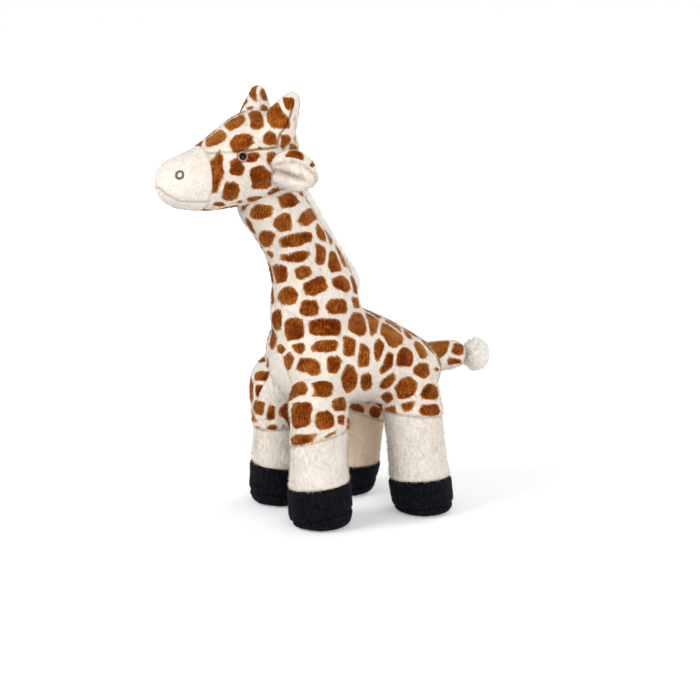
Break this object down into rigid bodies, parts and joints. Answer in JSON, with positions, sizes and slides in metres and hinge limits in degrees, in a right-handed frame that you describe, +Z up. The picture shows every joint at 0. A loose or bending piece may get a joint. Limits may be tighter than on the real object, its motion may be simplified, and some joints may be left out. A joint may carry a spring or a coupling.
{
  "type": "plush giraffe",
  "caption": "Stuffed plush giraffe standing on stout legs, with a leaning neck, a long muzzle, stubby horns, flap ears and a tufted tail.",
  "frame": {"origin": "on the floor, below the middle of the toy's length and width", "axes": "+Z up, -Y the way the toy faces, +X the toy's own left side"},
  "size_m": [0.1071, 0.2544, 0.2914],
  "materials": {
    "cream_plush": "short cream pile cloth",
    "spotted_plush": "short cream pile cloth printed with rounded brown patches",
    "white_pile": "longer off-white pile cloth",
    "black_plush": "short blue-black pile cloth",
    "filling_fibre": "loose polyester fibre stuffing",
    "eye_plastic": "polished black plastic",
    "washer_plastic": "plain moulded plastic",
    "brown_thread": "brown embroidery thread"
  },
  "bodies": {
    "torso": {"side_panel_left": "spotted_plush", "side_panel_right": "spotted_plush", "belly_panel": "cream_plush", "torso_filling": "filling_fibre"},
    "neck": {"neck_panel_left": "spotted_plush", "neck_panel_right": "spotted_plush", "neck_filling": "filling_fibre", "mane_neck": "white_pile"},
    "head": {"crown_panel": "spotted_plush", "cheek_left": "spotted_plush", "cheek_right": "spotted_plush", "muzzle_panel": "cream_plush", "chin_panel": "cream_plush", "head_filling": "filling_fibre", "mane_head": "white_pile", "horn_left": "spotted_plush", "horn_left_filling": "filling_fibre", "horn_right": "spotted_plush", "horn_right_filling": "filling_fibre", "eye_left": "eye_plastic", "eye_right": "eye_plastic", "eye_washer_left": "washer_plastic", "eye_washer_right": "washer_plastic", "nostril_left": "brown_thread", "nostril_right": "brown_thread"},
    "ear_left": {"ear_left_front": "cream_plush", "ear_left_back": "spotted_plush"},
    "ear_right": {"ear_right_front": "cream_plush", "ear_right_back": "spotted_plush"},
    "tail": {"tail_cover": "spotted_plush", "tail_filling": "filling_fibre", "tail_tuft": "white_pile"},
    "leg_front_left": {"leg_front_left_outer_sleeve": "spotted_plush", "leg_front_left_inner_sleeve": "spotted_plush", "leg_front_left_sock": "cream_plush", "leg_front_left_hoof": "black_plush", "leg_front_left_sole": "black_plush", "leg_front_left_filling": "filling_fibre"},
    "leg_front_right": {"leg_front_right_outer_sleeve": "spotted_plush", "leg_front_right_inner_sleeve": "spotted_plush", "leg_front_right_sock": "cream_plush", "leg_front_right_hoof": "black_plush", "leg_front_right_sole": "black_plush", "leg_front_right_filling": "filling_fibre"},
    "leg_hind_left": {"leg_hind_left_outer_sleeve": "spotted_plush", "leg_hind_left_inner_sleeve": "spotted_plush", "leg_hind_left_sock": "cream_plush", "leg_hind_left_hoof": "black_plush", "leg_hind_left_sole": "black_plush", "leg_hind_left_filling": "filling_fibre"},
    "leg_hind_right": {"leg_hind_right_outer_sleeve": "spotted_plush", "leg_hind_right_inner_sleeve": "spotted_plush", "leg_hind_right_sock": "cream_plush", "leg_hind_right_hoof": "black_plush", "leg_hind_right_sole": "black_plush", "leg_hind_right_filling": "filling_fibre"}
  },
  "joints": [
    {"name": "neck_bend", "type": "hinge", "parent": "torso", "child": "neck", "pos_m": [0, -0.01003, 0.132], "axis": [1, 0, 0], "range_deg": [-8, 8], "stiffness_Nm_per_rad": 1.5},
    {"name": "head_nod", "type": "hinge", "parent": "neck", "child": "head", "pos_m": [0, -0.04177, 0.21172], "axis": [1, 0, 0], "range_deg": [-12, 12], "stiffness_Nm_per_rad": 0.6},
    {"name": "ear_left_flap", "type": "hinge", "parent": "head", "child": "ear_left", "pos_m": [0.02838, -0.0524, 0.23995], "axis": [0, 0, 1], "range_deg": [-20, 20], "stiffness_Nm_per_rad": 0.005},
    {"name": "ear_right_flap", "type": "hinge", "parent": "head", "child": "ear_right", "pos_m": [-0.02838, -0.0524, 0.23995], "axis": [0, 0, 1], "range_deg": [-20, 20], "stiffness_Nm_per_rad": 0.005},
    {"name": "tail_swing", "type": "hinge", "parent": "torso", "child": "tail", "pos_m": [0, 0.07597, 0.097], "axis": [0, 0, 1], "range_deg": [-30, 30], "stiffness_Nm_per_rad": 0.05},
    {"name": "front_left_hip_swing", "type": "hinge", "parent": "torso", "child": "leg_front_left", "pos_m": [0.031, -0.02453, 0.086], "axis": [1, 0, 0], "range_deg": [-12, 12], "stiffness_Nm_per_rad": 1},
    {"name": "front_right_hip_swing", "type": "hinge", "parent": "torso", "child": "leg_front_right", "pos_m": [-0.031, -0.02453, 0.086], "axis": [1, 0, 0], "range_deg": [-12, 5], "stiffness_Nm_per_rad": 1},
    {"name": "hind_left_hip_swing", "type": "hinge", "parent": "torso", "child": "leg_hind_left", "pos_m": [0.031, 0.04547, 0.086], "axis": [1, 0, 0], "range_deg": [-12, 12], "stiffness_Nm_per_rad": 1},
    {"name": "hind_right_hip_swing", "type": "hinge", "parent": "torso", "child": "leg_hind_right", "pos_m": [-0.031, 0.04547, 0.086], "axis": [1, 0, 0], "range_deg": [-5, 12], "stiffness_Nm_per_rad": 1}
  ]
}
